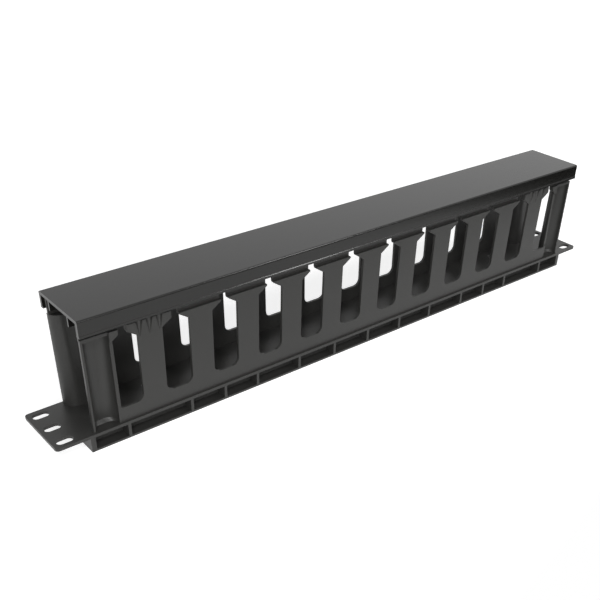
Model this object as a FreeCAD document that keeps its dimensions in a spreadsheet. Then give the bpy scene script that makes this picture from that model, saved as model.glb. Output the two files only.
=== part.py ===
"""Horizontal cable manager, 19-inch rack, 1U: a slotted duct with mounting ears and a lift-off cover.

Frame: X runs along the 19-inch width, Y across the 1U height, +Z out of the rack front.
The rear face of the duct lies on Z = 0 and the part is centred on X = 0, Y = 0. Millimetres.
"""
import FreeCAD
import Part
import math
import os

import Sketcher

doc = FreeCAD.newDocument("cable_manager")

# ---- driving dimensions ------------------------------------------------------------------------
SIZES = {
    # base: a ribbed hollow tray, closed on top by the channel floor
    "base_length": 439.6,
    "unit_width": 43.7,         # 1U panel height less clearance
    "base_depth": 9.8,          # from the rear face to the underside of the floor
    "floor_thick": 2.0,
    "rear_lip_thick": 1.4,
    "pocket_depth": 7.8,
    "web_thick": 1.8,
    "rib_thick": 2.0,
    "end_wall_thick": 3.2,
    "rib_first": 31.5,
    "rib_second": 63.0,
    "rib_third": 98.3,
    "rib_fourth": 124.0,
    "rib_fifth": 149.5,
    "rib_sixth": 194.0,
    "floor_hole_x": 165.7,
    "floor_hole_y": 7.6,
    "floor_hole_wide": 6.0,
    # mounting ears
    "ear_reach": 21.5,          # past each end of the base: 482.6 mm over both ears
    "ear_corner": 2.5,
    "ear_slot_inset": 8.1,      # from the end of the ear to the middle of its slots
    "ear_slot_pitch": 15.875,   # rack hole pitch inside one unit
    "ear_slot_long": 10.8,
    "ear_slot_wide": 6.0,
    # slotted side walls, with heights above the channel floor
    "wall_ledge": 1.5,          # the foot of a wall stands this far inside the base
    "wall_lean": 1.1,           # how much further out the heads are than the foot
    "wall_thick": 1.9,
    "slot_pitch": 34.7,
    "slot_wide": 18.6,
    "slot_foot_rise": 9.9,
    "slot_corner": 5.0,
    "head_foot_rise": 54.7,
    "head_neck_rise": 59.0,
    "head_top_rise": 60.0,
    "neck_gap": 5.6,
    "neck_clearance": 3.0,      # least distance from the outermost neck to the post
    "tongue_inset": 2.2,
    "tongue_thick": 1.5,
    "tongue_rise": 73.4,
    "snap_bead": 0.8,
    "snap_bead_drop": 5.8,      # below the tip of the tongue
    "snap_bead_half": 1.3,
    # solid heads with flutes, one finger in from each end
    "grip_rise": 63.3,
    "flute_pitch": 6.6,
    "flute_top_radius": 2.2,
    "flute_foot_radius": 0.4,
    "flute_long": 9.5,
    # end posts
    "post_setback": 3.4,        # from the end of the base
    "post_wide": 19.2,
    "post_rise": 62.2,
    "post_cap": 2.0,
    "post_skin": 1.3,
    "post_rib": 2.1,
    "post_depth_foot": 9.2,
    "post_depth_top": 7.4,      # less than at the foot: the channel widens outwards for draft
    "post_flank": 0.6,          # straight part of the plan before the rounding starts
    "post_cove": 2.2,           # slope between the hollow's back and the floor
    # cover
    "cover_setback": 2.2,       # from the end of the base
    "cover_overhang": 1.9,      # how far its sides stand outside the heads
    "cover_thick": 2.0,
    "cover_skirt": 10.6,
    "cover_round": 1.1,
    "skirt_lip": 0.35,
    "skirt_lip_high": 1.3,
    "skirt_bead": 1.0,
    "skirt_bead_high": 1.6,
    "cover_rib_y": 11.6,
    "cover_rib_thick": 1.4,
    "cover_rib_deep": 6.0,
    "seat_gap": 0.3,            # between the tongue tips and the underside of the cover
}

sheet = doc.addObject("Spreadsheet::Sheet", "Sizes")
for row, (name, value) in enumerate(SIZES.items(), start=1):
    sheet.set("A%d" % row, name)
    sheet.set("B%d" % row, str(value))
    sheet.setAlias("B%d" % row, name)
doc.recompute()


class Size:
    """A length that keeps both its value and the sheet formula that gives it."""

    def __init__(self, value, formula):
        self.value = value
        self.formula = formula

    def _join(self, other, sign, value):
        other = other if isinstance(other, Size) else Size(other, "%r" % other)
        return Size(value(self.value, other.value), "(%s %s %s)" % (self.formula, sign, other.formula))

    def __add__(self, other):
        return self._join(other, "+", lambda a, b: a + b)

    def __sub__(self, other):
        return self._join(other, "-", lambda a, b: a - b)

    def __mul__(self, other):
        return self._join(other, "*", lambda a, b: a * b)

    def __truediv__(self, other):
        return self._join(other, "/", lambda a, b: a / b)

    def __neg__(self):
        return Size(-self.value, "(-%s)" % self.formula)

    def whole(self):
        return Size(float(math.floor(self.value)), "floor(%s)" % self.formula)


def size(name):
    return Size(sheet.get(name), "Sizes.%s" % name)


ZERO = Size(0.0, "0")
OVERRUN = Size(1.0, "1")        # how far a cut runs past the face that it opens


# ---- sketch and feature helpers ------------------------------------------------------------------
def bind(target, prop, length):
    """Set a property from a Size, by value first and then by formula."""
    if "." not in prop:
        setattr(target, prop, length.value)
    target.setExpression(prop, length.formula)


def origin_plane(body, role):
    return next(f for f in body.Origin.OriginFeatures if f.Role == role)


def new_sketch(body, name, role, lift=ZERO):
    """A sketch on one of the body's own origin planes, lifted along the plane's normal."""
    sketch = body.newObject("Sketcher::SketchObject", name)
    sketch.AttachmentSupport = (origin_plane(body, role), [""])
    sketch.MapMode = "FlatFace"
    sketch.AttachmentOffset = FreeCAD.Placement(FreeCAD.Vector(0, 0, lift.value), FreeCAD.Rotation())
    sketch.setExpression("AttachmentOffset.Base.z", lift.formula)
    return sketch


def pin(sketch, geometry, vertex, x, y, kinds="XY"):
    """Hold one point of the sketch at a place given by two Sizes, or by one of them."""
    for kind, length in (("X", x), ("Y", y)):
        if kind in kinds:
            rule = Sketcher.Constraint("Distance" + kind, -1, 1, geometry, vertex, length.value)
            index = sketch.addConstraint(rule)
            sketch.setExpression("Constraints[%d]" % index, length.formula)


def outline(sketch, points):
    """A closed outline, run anticlockwise where it has arcs that bulge outwards.

    A point is (x, y), reached by a straight line, or (x, y, cx, cy), reached by an arc about
    (cx, cy). A point at the end of an arc is held by one coordinate, because the arc's radius
    gives the other.
    """
    first = sketch.GeometryCount
    ends = []
    for start, end in zip(points, points[1:] + points[:1]):
        a = FreeCAD.Vector(start[0].value, start[1].value, 0)
        b = FreeCAD.Vector(end[0].value, end[1].value, 0)
        if len(end) == 2:
            sketch.addGeometry(Part.LineSegment(a, b))
            ends.append((1, 2))
            continue
        centre = FreeCAD.Vector(end[2].value, end[3].value, 0)
        forward = (a - centre).cross(b - centre).z >= -1e-9
        low, high = (a, b) if forward else (b, a)
        angles = [math.atan2(p.y - centre.y, p.x - centre.x) for p in (low, high)]
        circle = Part.Circle(centre, FreeCAD.Vector(0, 0, 1), (a - centre).Length)
        arc = sketch.addGeometry(Part.ArcOfCircle(circle, angles[0], angles[1]))
        pin(sketch, arc, 3, end[2], end[3])
        ends.append((1, 2) if forward else (2, 1))
    for i, point in enumerate(points):
        before = i - 1 if i else len(points) - 1
        sketch.addConstraint(Sketcher.Constraint(
            "Coincident", first + before, ends[before][1], first + i, ends[i][0]))
        kinds = "XY"
        if len(point) == 4:
            across = abs(point[1].value - point[3].value) > abs(point[0].value - point[2].value)
            kinds = "X" if across else "Y"
        pin(sketch, first + i, ends[i][0], point[0], point[1], kinds)


def rectangle(sketch, x_low, x_high, y_low, y_high):
    outline(sketch, [(x_low, y_low), (x_high, y_low), (x_high, y_high), (x_low, y_high)])


def pad(body, name, sketch, length, both=False, reverse=False):
    feature = body.newObject("PartDesign::Pad", name)
    feature.Profile = sketch
    feature.Reversed = reverse
    if both:
        feature.Midplane = True
    bind(feature, "Length", length)
    doc.recompute()
    return feature


def pocket(body, name, sketch, length, reverse=False):
    """A cut that has to take material away, or the build stops."""
    before = body.Shape.Volume
    feature = body.newObject("PartDesign::Pocket", name)
    feature.Profile = sketch
    feature.Reversed = reverse
    bind(feature, "Length", length)
    doc.recompute()
    if body.Shape.Volume >= before - 1.0:
        raise RuntimeError("%s cut nothing" % name)
    return feature


def repeat(body, name, kind, originals):
    """A pattern or mirror of earlier features, made the tip of the body."""
    feature = body.newObject(kind, name)
    feature.Originals = originals
    body.Tip = feature
    return feature


def mirrored(body, name, originals, role):
    feature = repeat(body, name, "PartDesign::Mirrored", originals)
    feature.MirrorPlane = (origin_plane(body, role), [""])
    doc.recompute()
    return feature


# ---- duct body: one moulding -----------------------------------------------------------------------
duct = doc.addObject("PartDesign::Body", "duct_body")
duct.Label = "duct_body"

base_half = size("base_length") / 2
side = size("unit_width") / 2
floor_under = size("base_depth")
floor_z = floor_under + size("floor_thick")
bay_half = base_half - size("end_wall_thick")

# Base block, then the hollows that leave its flanges, webs and floor.
sketch = new_sketch(duct, "base_outline", "XY_Plane")
rectangle(sketch, -base_half, base_half, -side, side)
pad(duct, "base_block", sketch, floor_z)

core = side - size("pocket_depth") - size("web_thick")
sketch = new_sketch(duct, "rear_core_outline", "XY_Plane")
rectangle(sketch, -bay_half, bay_half, -core, core)
pocket(duct, "rear_core", sketch, floor_under, reverse=True)

sketch = new_sketch(duct, "side_pocket_outline", "XZ_Plane", side)
rectangle(sketch, -bay_half, bay_half, size("rear_lip_thick"), floor_under)
side_pocket = pocket(duct, "side_pocket", sketch, size("pocket_depth"))
mirrored(duct, "side_pocket_far", [side_pocket], "XZ_Plane")

# Ribs across the side pockets, flush with the sides of the base.
sketch = new_sketch(duct, "rib_outlines", "XY_Plane")
half_rib = size("rib_thick") / 2
embed = size("floor_thick") / 2
rib_places = [ZERO]
for name in ("rib_first", "rib_second", "rib_third", "rib_fourth", "rib_fifth", "rib_sixth"):
    rib_places += [-size(name), size(name)]
for x in rib_places:
    rectangle(sketch, x - half_rib, x + half_rib, -side, -core - size("web_thick") / 2)
ribs = pad(duct, "ribs", sketch, floor_under + embed)
mirrored(duct, "ribs_far", [ribs], "XZ_Plane")

# Ears: the floor plate runs on past both ends of the base.
ear_half = base_half + size("ear_reach")
corner = size("ear_corner")
sketch = new_sketch(duct, "ear_outline", "XY_Plane", floor_under)
root = bay_half
outline(sketch, [
    (root, -side),
    (ear_half - corner, -side),
    (ear_half, -side + corner, ear_half - corner, -side + corner),
    (ear_half, side - corner),
    (ear_half - corner, side, ear_half - corner, side - corner),
    (root, side),
])
ear = pad(duct, "ear", sketch, size("floor_thick"))
mirrored(duct, "ear_left", [ear], "YZ_Plane")

slot_x = ear_half - size("ear_slot_inset")
slot_r = size("ear_slot_wide") / 2
slot_run = size("ear_slot_long") / 2 - slot_r
sketch = new_sketch(duct, "ear_slot_outline", "XY_Plane", floor_z)
for row in (-1, 0, 1):
    y = size("ear_slot_pitch") * row
    outline(sketch, [
        (slot_x - slot_run, y - slot_r, slot_x - slot_run, y),
        (slot_x + slot_run, y - slot_r),
        (slot_x + slot_run, y + slot_r, slot_x + slot_run, y),
        (slot_x - slot_run, y + slot_r),
    ])
ear_slots = pocket(duct, "ear_slots", sketch, size("floor_thick") + OVERRUN)
mirrored(duct, "ear_slots_left", [ear_slots], "YZ_Plane")

# Floor holes near the ends of the channel.
sketch = new_sketch(duct, "floor_hole_outline", "XY_Plane", floor_z)
hole_r = size("floor_hole_wide") / 2
for sx in (-1, 1):
    for sy in (-1, 1):
        hx = size("floor_hole_x") * sx
        hy = size("floor_hole_y") * sy
        circle = sketch.addGeometry(Part.Circle(
            FreeCAD.Vector(hx.value, hy.value, 0), FreeCAD.Vector(0, 0, 1), hole_r.value))
        pin(sketch, circle, 3, hx, hy)
        index = sketch.addConstraint(Sketcher.Constraint("Radius", circle, hole_r.value))
        sketch.setExpression("Constraints[%d]" % index, hole_r.formula)
pocket(duct, "floor_holes", sketch, size("floor_thick") + OVERRUN)

# Side wall: one section run along the channel. Its head is thickened inwards, steps in above the
# ledge to a tongue that the cover goes over, and the tongue carries the snap bead.
post_end = base_half - size("post_setback")
post_side = post_end - size("post_wide")
wall_run = post_side + size("post_rib")
wall_foot = side - size("wall_ledge")
wall_head = wall_foot + size("wall_lean")
head_foot = floor_z + size("head_foot_rise")
head_neck = floor_z + size("head_neck_rise")
head_top = floor_z + size("head_top_rise")
tongue_out = wall_head - size("tongue_inset")
tongue_in = tongue_out - size("tongue_thick")
tongue_top = floor_z + size("tongue_rise")
bead = size("snap_bead")
bead_z = tongue_top - size("snap_bead_drop")
bead_half = size("snap_bead_half")
lead = size("tongue_thick") / 3
sketch = new_sketch(duct, "wall_section", "YZ_Plane")
outline(sketch, [
    (-wall_foot, floor_z - embed),
    (-wall_foot + size("wall_thick"), floor_z - embed),
    (-wall_head + size("wall_thick"), (head_foot + head_neck) / 2),
    (-tongue_in, head_top),
    (-tongue_in, tongue_top),
    (-tongue_out + lead, tongue_top),
    (-tongue_out, tongue_top - lead),
    (-tongue_out, bead_z + bead_half),
    (-tongue_out - bead, bead_z),
    (-tongue_out, bead_z - bead_half),
    (-tongue_out, head_top),
    (-wall_head, head_top),
])
wall = pad(duct, "wall", sketch, wall_run * 2, both=True)

# As many slots as fit between the posts, centred.
pitch = size("slot_pitch")
neck_half = size("neck_gap") / 2
slot_row = ((post_side * 2 - size("neck_gap") - size("neck_clearance") * 2) / pitch).whole()
first_slot = -pitch * slot_row / 2

# Solid heads: on the fingers next to the ends, where the ledge is filled up to the cover, and on
# the posts, where half a head closes the neck of the outermost slot. The tongue runs on over the
# posts to their ends.
grip_half = pitch / 2 - neck_half
grip_x = -first_slot - pitch / 2
grip_deep = size("tongue_inset") + size("tongue_thick") / 2
post_top = floor_z + size("post_rise")
for name, face, deep, x_low, x_high, low, top in (
        ("grip", wall_head, grip_deep,
         grip_x - grip_half, grip_x + grip_half, head_neck, floor_z + size("grip_rise")),
        ("post_head", wall_head, grip_deep, -first_slot, wall_run, head_neck, post_top),
        ("post_tongue", tongue_out, size("tongue_thick"),
         wall_run - OVERRUN, post_end, post_top - size("post_cap") / 2, tongue_top)):
    sketch = new_sketch(duct, name + "_outline", "XZ_Plane", face)
    rectangle(sketch, x_low, x_high, low, top)
    head = pad(duct, name, sketch, deep, reverse=True)
    mirrored(duct, name + "_left", [head], "YZ_Plane")

# Finger slots: parallel sides up to the head, then shoulders that close in to a narrow neck.
slot_half = size("slot_wide") / 2
slot_foot = floor_z + size("slot_foot_rise")
slot_corner = size("slot_corner")
slot_depth = wall_head - tongue_in + OVERRUN * 2
sketch = new_sketch(duct, "finger_slot_outline", "XZ_Plane", wall_head + OVERRUN)
outline(sketch, [
    (first_slot - slot_half + slot_corner, slot_foot,
     first_slot - slot_half + slot_corner, slot_foot + slot_corner),
    (first_slot + slot_half - slot_corner, slot_foot),
    (first_slot + slot_half, slot_foot + slot_corner,
     first_slot + slot_half - slot_corner, slot_foot + slot_corner),
    (first_slot + slot_half, head_foot),
    (first_slot + neck_half, head_neck),
    (first_slot + neck_half, tongue_top + OVERRUN),
    (first_slot - neck_half, tongue_top + OVERRUN),
    (first_slot - neck_half, head_neck),
    (first_slot - slot_half, head_foot),
    (first_slot - slot_half, slot_foot + slot_corner),
])
slot = pocket(duct, "finger_slot", sketch, slot_depth)
row = repeat(duct, "finger_slots", "PartDesign::LinearPattern", [slot])
row.Direction = (origin_plane(duct, "X_Axis"), [""])
bind(row, "Length", pitch * slot_row)
row.Occurrences = int(slot_row.value) + 1
row.setExpression("Occurrences", (slot_row + 1).formula)
doc.recompute()

# Flutes cut down the solid heads, widest at the top.
grip_top = floor_z + size("grip_rise")
flute_foot = grip_top - size("flute_long")
for sx in (-1, 1):
    for step in (-1, 0, 1):
        flute = duct.newObject("PartDesign::SubtractiveCone", "flute")
        bind(flute, "Radius1", size("flute_foot_radius"))
        bind(flute, "Radius2", size("flute_top_radius"))
        bind(flute, "Height", size("flute_long"))
        bind(flute, "Placement.Base.x", grip_x * sx + size("flute_pitch") * step)
        bind(flute, "Placement.Base.y", -wall_head)
        bind(flute, "Placement.Base.z", flute_foot)
        doc.recompute()


# End posts: a half-round column that bulges into the channel so that cords meet no sharp edge,
# hollowed from outside and closed by a cap. The channel side has draft, so it is a loft.
def column(name, z, face, depth, x_end, x_side, radius):
    """The plan of a column at one height: flat outside, rounded on the channel side."""
    back = wall_foot - depth
    plan = new_sketch(duct, name, "XY_Plane", z)
    outline(plan, [
        (-x_end, -face),
        (-x_side, -face),
        (-x_side, -back - radius),
        (-x_side - radius, -back, -x_side - radius, -back - radius),
        (-x_end + radius, -back),
        (-x_end, -back - radius, -x_end + radius, -back - radius),
    ])
    return plan


def loft(kind, name, foot, *others):
    feature = duct.newObject(kind, name)
    feature.Profile = foot
    feature.Sections = list(others)
    feature.Ruled = True
    doc.recompute()
    return feature


flank = size("post_flank")
foot_deep, top_deep = size("post_depth_foot"), size("post_depth_top")
post = loft("PartDesign::AdditiveLoft", "post",
            column("post_foot", floor_z - embed, wall_foot, foot_deep,
                   post_end, post_side, foot_deep - flank),
            column("post_top", post_top, wall_foot, top_deep,
                   post_end, post_side, top_deep - flank))

# The hollow keeps the skin's thickness, and its back slopes out to the floor at the foot.
skin = size("post_skin")
cove = size("post_cove")
hollow_end, hollow_side = post_end - skin, post_side + size("post_rib")
outside = wall_head + OVERRUN
hollow = loft("PartDesign::SubtractiveLoft", "post_hollow",
              *(column(name, z, outside, depth, hollow_end, hollow_side, depth - flank)
                for name, z, depth in (
                    ("hollow_foot", floor_z, foot_deep - skin - cove),
                    ("hollow_cove", floor_z + cove, foot_deep - skin),
                    ("hollow_top", post_top - size("post_cap"), top_deep - skin))))
mirrored(duct, "post_right", [post, hollow], "YZ_Plane")

# The far side repeats the near one.
far_side = repeat(duct, "far_side", "PartDesign::Mirrored", [])
far_side.TransformMode = "Whole shape"
far_side.MirrorPlane = (origin_plane(duct, "XZ_Plane"), [""])
doc.recompute()

# ---- cover: a shallow channel that closes the duct ------------------------------------------------
cover = doc.addObject("PartDesign::Body", "cover")
cover.Label = "cover"

lip, lip_high = size("skirt_lip"), size("skirt_lip_high")
high = size("cover_skirt")
outer = wall_head + size("cover_overhang")
inner = outer - size("cover_thick")
under = high - size("cover_thick")
radius = size("cover_round")
catch, catch_high = size("skirt_bead"), size("skirt_bead_high")
rib_in = size("cover_rib_y") - size("cover_rib_thick") / 2
rib_out = size("cover_rib_y") + size("cover_rib_thick") / 2
rib_foot = under - size("cover_rib_deep")
half_section = [
    (outer + lip, ZERO),
    (outer + lip, lip_high),
    (outer, lip_high + lip),
    (outer, high - radius),
    (outer - radius, high, outer - radius, high - radius),
]
half_inside = [
    (rib_in, under),
    (rib_in, rib_foot),
    (rib_out, rib_foot),
    (rib_out, under),
    (inner, under),
    (inner, catch_high),
    (inner - catch, catch_high / 2),
    (inner - catch / 2, ZERO),
]
other_inside = [(-y, z) for y, z in reversed(half_inside)]
other_section = [
    (-outer + radius, high),
    (-outer, high - radius, -outer + radius, high - radius),
    (-outer, lip_high + lip),
    (-outer - lip, lip_high),
    (-outer - lip, ZERO),
]
sketch = new_sketch(cover, "cover_section", "YZ_Plane")
outline(sketch, half_section + other_section + other_inside + half_inside)
pad(cover, "cover_shell", sketch, (base_half - size("cover_setback")) * 2, both=True)
bind(cover, "Placement.Base.z", tongue_top + size("seat_gap") - under)
doc.recompute()

# ---- checks and export -------------------------------------------------------------------------------
for item in doc.Objects:
    if "Invalid" in item.State or "Error" in item.State:
        raise RuntimeError("%s failed: %s" % (item.Name, item.State))
os.makedirs("parts", exist_ok=True)
for body in (duct, cover):
    shape = body.Shape
    if shape.isNull() or not shape.isValid() or len(shape.Solids) != 1:
        raise RuntimeError("%s is not one valid solid" % body.Label)
    shape.exportStep("parts/%s.step" % body.Label)
    print(body.Label, [round(v, 3) for v in (
        shape.BoundBox.XMin, shape.BoundBox.XMax, shape.BoundBox.YMin, shape.BoundBox.YMax,
        shape.BoundBox.ZMin, shape.BoundBox.ZMax, shape.Volume / 1000)])
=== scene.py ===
import math

import bpy
from mathutils import Matrix, Vector


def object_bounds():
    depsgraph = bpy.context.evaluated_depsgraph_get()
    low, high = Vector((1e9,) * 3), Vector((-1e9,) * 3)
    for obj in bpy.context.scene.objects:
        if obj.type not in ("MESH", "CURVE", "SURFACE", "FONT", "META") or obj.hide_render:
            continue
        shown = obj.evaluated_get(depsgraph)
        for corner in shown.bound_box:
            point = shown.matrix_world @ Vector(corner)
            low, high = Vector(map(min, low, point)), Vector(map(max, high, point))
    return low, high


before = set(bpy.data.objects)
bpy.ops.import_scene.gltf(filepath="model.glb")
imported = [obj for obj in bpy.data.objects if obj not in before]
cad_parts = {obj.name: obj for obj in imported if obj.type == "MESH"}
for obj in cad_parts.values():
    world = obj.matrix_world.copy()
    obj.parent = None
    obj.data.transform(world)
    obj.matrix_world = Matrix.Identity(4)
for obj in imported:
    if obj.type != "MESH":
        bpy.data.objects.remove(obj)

CAD_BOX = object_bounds()


# ---- Duct body -------------------------------------------------------------------------------------
# The slotted duct with its ears, base ribs, fingers and end posts is one ABS injection moulding in
# charcoal black. Its outside is spark-textured to a fine satin grain, and its edges come off the
# mould with a small soft radius.
MM = 0.001
DUCT_COLOUR = (0.0305, 0.0303, 0.0288)
DUCT_ROUGHNESS = 0.4
DUCT_SHINE = 0.35
DUCT_DRIFT = 0.06               # how far the shade wanders to either side
DUCT_EDGE = 0.35 * MM
GRAIN = 0.35 * MM               # the spark texture of the mould, the same on both mouldings
DUCT_GRAIN_DEPTH = 0.06 * MM
GRAIN_STRENGTH = 0.22
CLOUDS_PER_METRE = 14.0         # slow drift of the shade
FLOW_PER_METRE = (9.0, 60.0, 60.0)   # flow marks, drawn out along the length
GLOSS_BELOW = 0.05              # how far flow marks lower and raise the roughness
GLOSS_ABOVE = 0.07
EDGE_ANGLE = math.radians(35)   # flatter joints between faces keep no radius
EDGE_STEPS = 2


def plug(tree, node, socket, value):
    """Set a socket from a number or colour, or join it to another node's output."""
    target = node.inputs[socket]
    if isinstance(value, bpy.types.NodeSocket):
        tree.links.new(value, target)
    else:
        target.default_value = value


def add_node(tree, kind, **sockets):
    """A shader node with its inputs set by name, spaces written as underscores."""
    node = tree.nodes.new(kind)
    for name, value in sockets.items():
        plug(tree, node, name.replace("_", " "), value)
    return node


def moulded_plastic(name, colour, roughness, shine, drift, grain_depth):
    """Satin moulded plastic: fine grain in the relief, slow drift in shade, flow marks in gloss."""
    material = bpy.data.materials.new(name)
    material.use_nodes = True
    tree = material.node_tree
    shader = tree.nodes["Principled BSDF"]
    place = tree.nodes.new("ShaderNodeTexCoord").outputs["Object"]

    grain = add_node(tree, "ShaderNodeTexNoise", Vector=place, Scale=1 / GRAIN, Detail=3.0)
    clouds = add_node(tree, "ShaderNodeTexNoise", Vector=place, Scale=CLOUDS_PER_METRE, Detail=4.0)
    along = add_node(tree, "ShaderNodeMapping", Vector=place, Scale=FLOW_PER_METRE)
    flow = add_node(tree, "ShaderNodeTexNoise", Vector=along.outputs[0], Scale=1.0, Detail=3.0)

    shade = add_node(tree, "ShaderNodeMapRange", Value=clouds.outputs["Fac"],
                     To_Min=1.0 - drift, To_Max=1.0 + drift)
    tint = tree.nodes.new("ShaderNodeVectorMath")
    tint.operation = "SCALE"
    tint.inputs[0].default_value = colour
    tree.links.new(shade.outputs[0], tint.inputs["Scale"])
    tree.links.new(tint.outputs[0], shader.inputs["Base Color"])

    gloss = add_node(tree, "ShaderNodeMapRange", Value=flow.outputs["Fac"],
                     To_Min=roughness - GLOSS_BELOW, To_Max=roughness + GLOSS_ABOVE)
    tree.links.new(gloss.outputs[0], shader.inputs["Roughness"])

    relief = add_node(tree, "ShaderNodeBump", Strength=GRAIN_STRENGTH, Distance=grain_depth,
                      Height=grain.outputs["Fac"])
    tree.links.new(relief.outputs[0], shader.inputs["Normal"])
    shader.inputs["Specular IOR Level"].default_value = shine
    return material


def soft_edges(piece, width):
    """The small radius that a moulding has along its edges."""
    bevel = piece.modifiers.new("edge_radius", "BEVEL")
    bevel.width = width
    bevel.segments = EDGE_STEPS
    bevel.limit_method = "ANGLE"
    bevel.angle_limit = EDGE_ANGLE
    bevel.harden_normals = False


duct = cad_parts["duct_body"]
duct_plastic = moulded_plastic(
    "duct_plastic", DUCT_COLOUR, DUCT_ROUGHNESS, DUCT_SHINE, DUCT_DRIFT, DUCT_GRAIN_DEPTH)
duct.data.materials.clear()
duct.data.materials.append(duct_plastic)
soft_edges(duct, DUCT_EDGE)

# ---- Cover -----------------------------------------------------------------------------------------
# The lid is a shallow moulded channel in black plastic, darker than the duct and with a smoother,
# glossier face. It snaps over the finger tongues and lifts straight off.
COVER_COLOUR = (0.0102, 0.0101, 0.0092)
COVER_ROUGHNESS = 0.15
COVER_SHINE = 0.36
COVER_DRIFT = 0.04
COVER_EDGE = 0.3 * MM
COVER_GRAIN_DEPTH = 0.04 * MM

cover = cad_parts["cover"]
cover_plastic = moulded_plastic(
    "cover_plastic", COVER_COLOUR, COVER_ROUGHNESS, COVER_SHINE, COVER_DRIFT, COVER_GRAIN_DEPTH)
cover.data.materials.clear()
cover.data.materials.append(cover_plastic)
soft_edges(cover, COVER_EDGE)

# ---- Floor -----------------------------------------------------------------------------------------
# A plain white sheet under the part, with a black table beyond its near edge. It is not part of the
# object. The camera sees white all over, with the part's soft shadow. Only the mirror of the plastic
# shows the table as black, so there camera and mirror see different floors.
FLOOR_HALF = 6.0
FLOOR_HEIGHT = CAD_BOX[0][2] - 0.2 * MM
SHEET_SHADE = 0.7
SHEET_EDGE = -225 * MM          # where the sheet's near edge lies, in front of the part's middle
SHEET_SKEW = 0.25               # how fast that edge comes nearer towards +X, as a slope
EDGE_BLUR = 12 * MM
SEEN_LIFT = 0.78                # what lifts the lit floor round the part to white for the camera
SEEN_NEAR = 0.55                # between these two distances from the part that lift grows to 1,
SEEN_FAR = 1.1                  # because the lamps no longer light the floor there
MIRRORED_LIFT = 0.8             # what lifts the sheet in the mirror of the plastic

floor_mesh = bpy.data.meshes.new("floor")
corners = [(-1, -1), (1, -1), (1, 1), (-1, 1)]
floor_mesh.from_pydata(
    [(x * FLOOR_HALF, y * FLOOR_HALF, FLOOR_HEIGHT) for x, y in corners], [], [(0, 1, 2, 3)])
floor = bpy.data.objects.new("floor", floor_mesh)
bpy.context.scene.collection.objects.link(floor)
floor_paint = bpy.data.materials.new("floor_paint")
floor_paint.use_nodes = True
tree = floor_paint.node_tree
surface = tree.nodes["Principled BSDF"]
surface.inputs["Roughness"].default_value = 1.0
surface.inputs["Specular IOR Level"].default_value = 0.0
on_plan = tree.nodes.new("ShaderNodeTexCoord").outputs["Object"]
rays = tree.nodes.new("ShaderNodeLightPath")

across = tree.nodes.new("ShaderNodeVectorMath")
across.operation = "DOT_PRODUCT"
across.inputs[1].default_value = (-SHEET_SKEW, 1, 0)
tree.links.new(on_plan, across.inputs[0])
sheet = add_node(tree, "ShaderNodeMapRange", Value=across.outputs["Value"],
                 From_Min=SHEET_EDGE - EDGE_BLUR / 2, From_Max=SHEET_EDGE + EDGE_BLUR / 2)
sheet.interpolation_type = "SMOOTHSTEP"

away = tree.nodes.new("ShaderNodeVectorMath")
away.operation = "LENGTH"
tree.links.new(on_plan, away.inputs[0])
seen_lift = add_node(tree, "ShaderNodeMapRange", Value=away.outputs["Value"], From_Min=SEEN_NEAR,
                     From_Max=SEEN_FAR, To_Min=SEEN_LIFT, To_Max=1.0)


def on_floor(beyond, on_sheet, ray=None):
    """A level that changes at the edge of the sheet, for every ray or for one kind only."""
    level = add_node(tree, "ShaderNodeMapRange", Value=sheet.outputs[0], To_Min=beyond, To_Max=on_sheet)
    if ray is None:
        return level.outputs[0]
    part = tree.nodes.new("ShaderNodeMath")
    part.operation = "MULTIPLY"
    tree.links.new(level.outputs[0], part.inputs[0])
    tree.links.new(rays.outputs[ray], part.inputs[1])
    return part.outputs[0]


grey = on_floor(beyond=0.0, on_sheet=SHEET_SHADE)
shade = add_node(tree, "ShaderNodeCombineColor", Red=grey, Green=grey, Blue=grey)
tree.links.new(shade.outputs[0], surface.inputs["Base Color"])
seen = on_floor(beyond=1.0, on_sheet=seen_lift.outputs[0], ray="Is Camera Ray")
mirrored = on_floor(beyond=0.0, on_sheet=MIRRORED_LIFT, ray="Is Glossy Ray")
lift = tree.nodes.new("ShaderNodeMath")
lift.operation = "ADD"
tree.links.new(seen, lift.inputs[0])
tree.links.new(mirrored, lift.inputs[1])
surface.inputs["Emission Color"].default_value = (1, 1, 1, 1)
tree.links.new(lift.outputs[0], surface.inputs["Emission Strength"])
floor.data.materials.append(floor_paint)

# ---- Light -----------------------------------------------------------------------------------------
# Soft studio light: a white backdrop that the camera and the plastic's mirror see, a weak surround
# for everything else, five soft lamps in front and to both sides, and one behind the part.
SURROUND = 0.03
BACKDROP = 1.0
AIM = (0.0, 0.0, 0.05)
world = bpy.data.worlds.new("studio")
bpy.context.scene.world = world
world.use_nodes = True
tree = world.node_tree
surround = tree.nodes["Background"]
surround.inputs["Color"].default_value = (1, 1, 1, 1)
surround.inputs["Strength"].default_value = SURROUND
backdrop = add_node(tree, "ShaderNodeBackground", Color=(1, 1, 1, 1), Strength=BACKDROP)
rays = tree.nodes.new("ShaderNodeLightPath")
seen = rays.outputs["Is Camera Ray"]
for kind in ("Is Glossy Ray", "Is Transmission Ray"):
    either = tree.nodes.new("ShaderNodeMath")
    either.operation = "MAXIMUM"
    tree.links.new(seen, either.inputs[0])
    tree.links.new(rays.outputs[kind], either.inputs[1])
    seen = either.outputs[0]
choose = tree.nodes.new("ShaderNodeMixShader")
tree.links.new(seen, choose.inputs[0])
tree.links.new(surround.outputs[0], choose.inputs[1])
tree.links.new(backdrop.outputs[0], choose.inputs[2])
tree.links.new(choose.outputs[0], tree.nodes["World Output"].inputs["Surface"])


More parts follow.
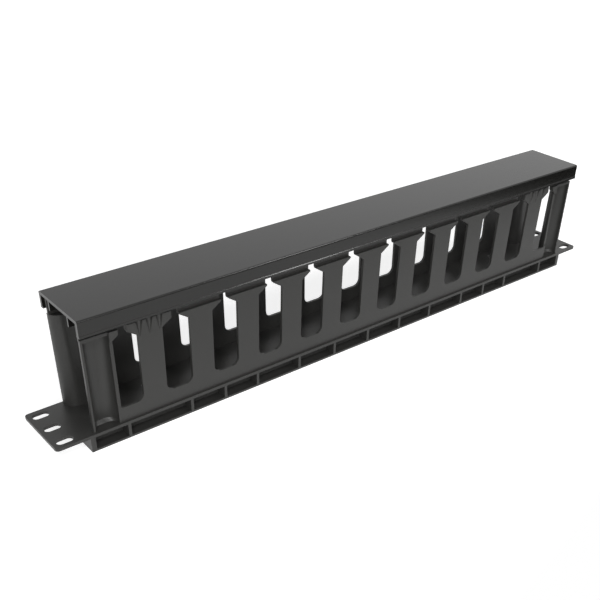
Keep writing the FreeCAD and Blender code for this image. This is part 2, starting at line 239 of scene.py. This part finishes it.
def lamp(name, place, width, height, power):
    """A rectangular soft lamp turned towards the middle of the part."""
    data = bpy.data.lights.new(name, "AREA")
    data.shape = "RECTANGLE"
    data.size = width
    data.size_y = height
    data.energy = power
    light = bpy.data.objects.new(name, data)
    bpy.context.scene.collection.objects.link(light)
    light.location = place
    light.rotation_euler = (Vector(AIM) - Vector(place)).to_track_quat("-Z", "Y").to_euler()
    return light


lamp("front_low", place=(-0.2, -1.5, 0.4), width=1.2, height=0.6, power=6.2)
lamp("front_high", place=(-0.2, -1.1, 1.2), width=0.8, height=0.6, power=3.8)
lamp("left_low", place=(-1.0, -1.0, 0.5), width=0.6, height=0.6, power=7.6)
lamp("left_high", place=(-0.8, -0.8, 1.1), width=0.3, height=0.3, power=4.2)
lamp("right_high", place=(0.8, -0.8, 1.1), width=0.3, height=0.3, power=4.8)
rear = lamp("rear", place=(0.9, 1.1, 0.35), width=0.8, height=0.5, power=7.0)
rear.visible_glossy = False

# ---- Camera ----------------------------------------------------------------------------------------
# The camera stands to the front left, above the part, and looks along its length.
CAMERA_PLACE = Vector((-379.61, -417.24, 313.74)) * MM
CAMERA_AZIMUTH = math.radians(40.99)
CAMERA_TILT = math.radians(37.00)
CAMERA_ROLL = math.radians(2.16)
camera_data = bpy.data.cameras.new("camera")
camera_data.sensor_width = 36.0
camera_data.lens = 51.456
camera_data.shift_x = -0.0435
camera_data.shift_y = 0.2470
camera_data.clip_start = 10 * MM
camera = bpy.data.objects.new("camera", camera_data)
bpy.context.scene.collection.objects.link(camera)
ahead = Vector((math.sin(CAMERA_AZIMUTH) * math.cos(CAMERA_TILT),
                math.cos(CAMERA_AZIMUTH) * math.cos(CAMERA_TILT), -math.sin(CAMERA_TILT)))
level = Vector((math.cos(CAMERA_AZIMUTH), -math.sin(CAMERA_AZIMUTH), 0))
upward = level.cross(ahead)
right = math.cos(CAMERA_ROLL) * level + math.sin(CAMERA_ROLL) * upward
top = -math.sin(CAMERA_ROLL) * level + math.cos(CAMERA_ROLL) * upward
turn = Matrix((right, top, -ahead)).transposed()
camera.matrix_world = Matrix.Translation(CAMERA_PLACE) @ turn.to_4x4()
bpy.context.scene.camera = camera

bpy.context.scene.view_settings.view_transform = "Standard"
